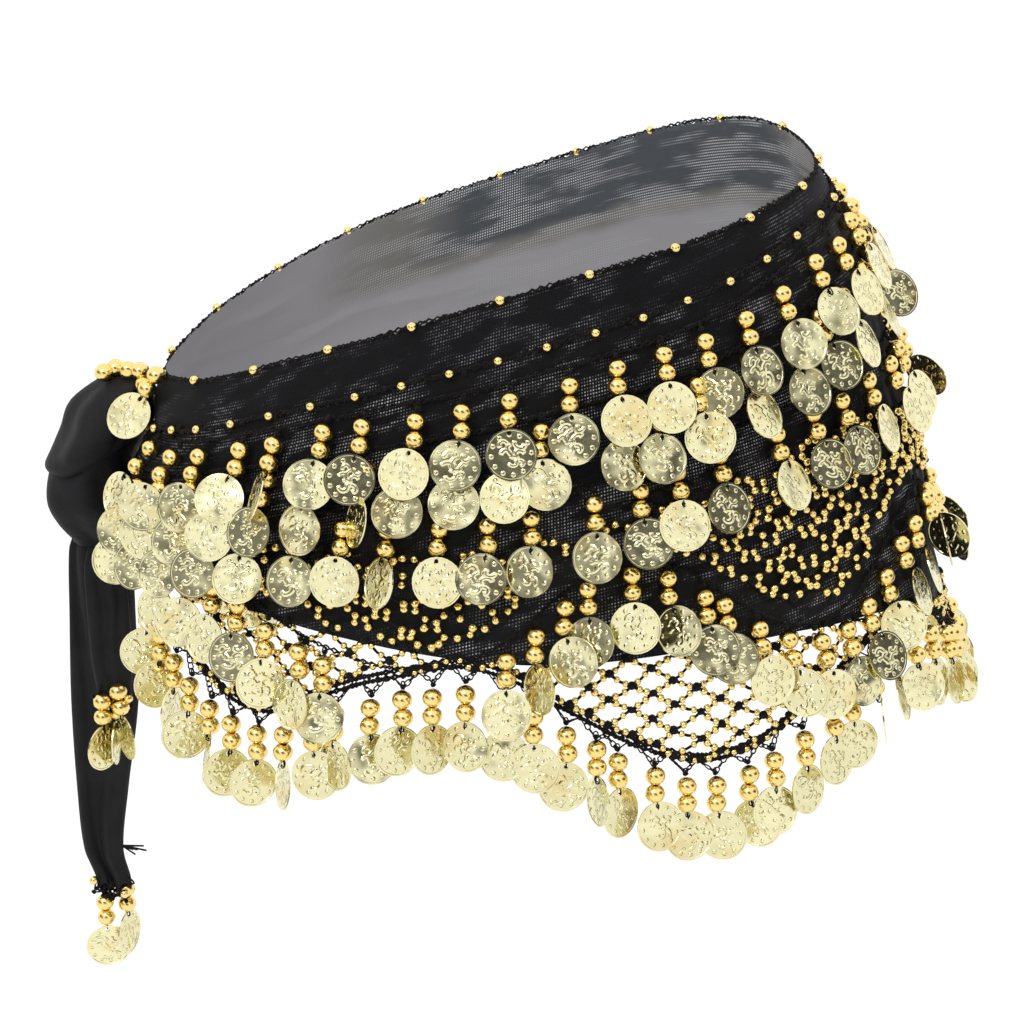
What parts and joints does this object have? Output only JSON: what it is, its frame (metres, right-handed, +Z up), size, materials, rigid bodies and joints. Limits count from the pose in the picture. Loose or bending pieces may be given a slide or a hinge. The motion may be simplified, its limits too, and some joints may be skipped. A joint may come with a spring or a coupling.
{
  "type": "belly dance hip scarf, worn and tied at one hip",
  "caption": "Worn chiffon hip scarf, tied in a side knot with hanging ends, with rows of gold coin drops and a beaded net hem.",
  "frame": {"origin": "centre of the waist opening, where the wearer's hips hold the scarf", "axes": "+Z up, -Y to the front, -X towards the knot"},
  "size_m": [0.3923, 0.2751, 0.3699],
  "materials": {
    "cloth": "sheer black chiffon, plain weave, nearly matt",
    "net": "brownish black crochet thread with small shiny gold beads",
    "coins": "pale gold stamped coins under shiny yellow gold beads",
    "knot": "black chiffon in several layers, with a soft satin sheen"
  },
  "bodies": {
    "root": {"cloth_front": "cloth", "cloth_back": "cloth", "net_front": "net", "net_back": "net", "coins_top_row": "coins", "coins_second_row": "coins", "coins_third_row": "coins", "coins_wave_row": "coins", "coins_edge_row": "coins", "coins_knot": "coins", "coins_long_tail": "coins", "coins_short_tail": "coins", "knot_over": "knot", "knot_under": "knot", "tail_long": "knot", "tail_short": "knot"}
  },
  "joints": []
}
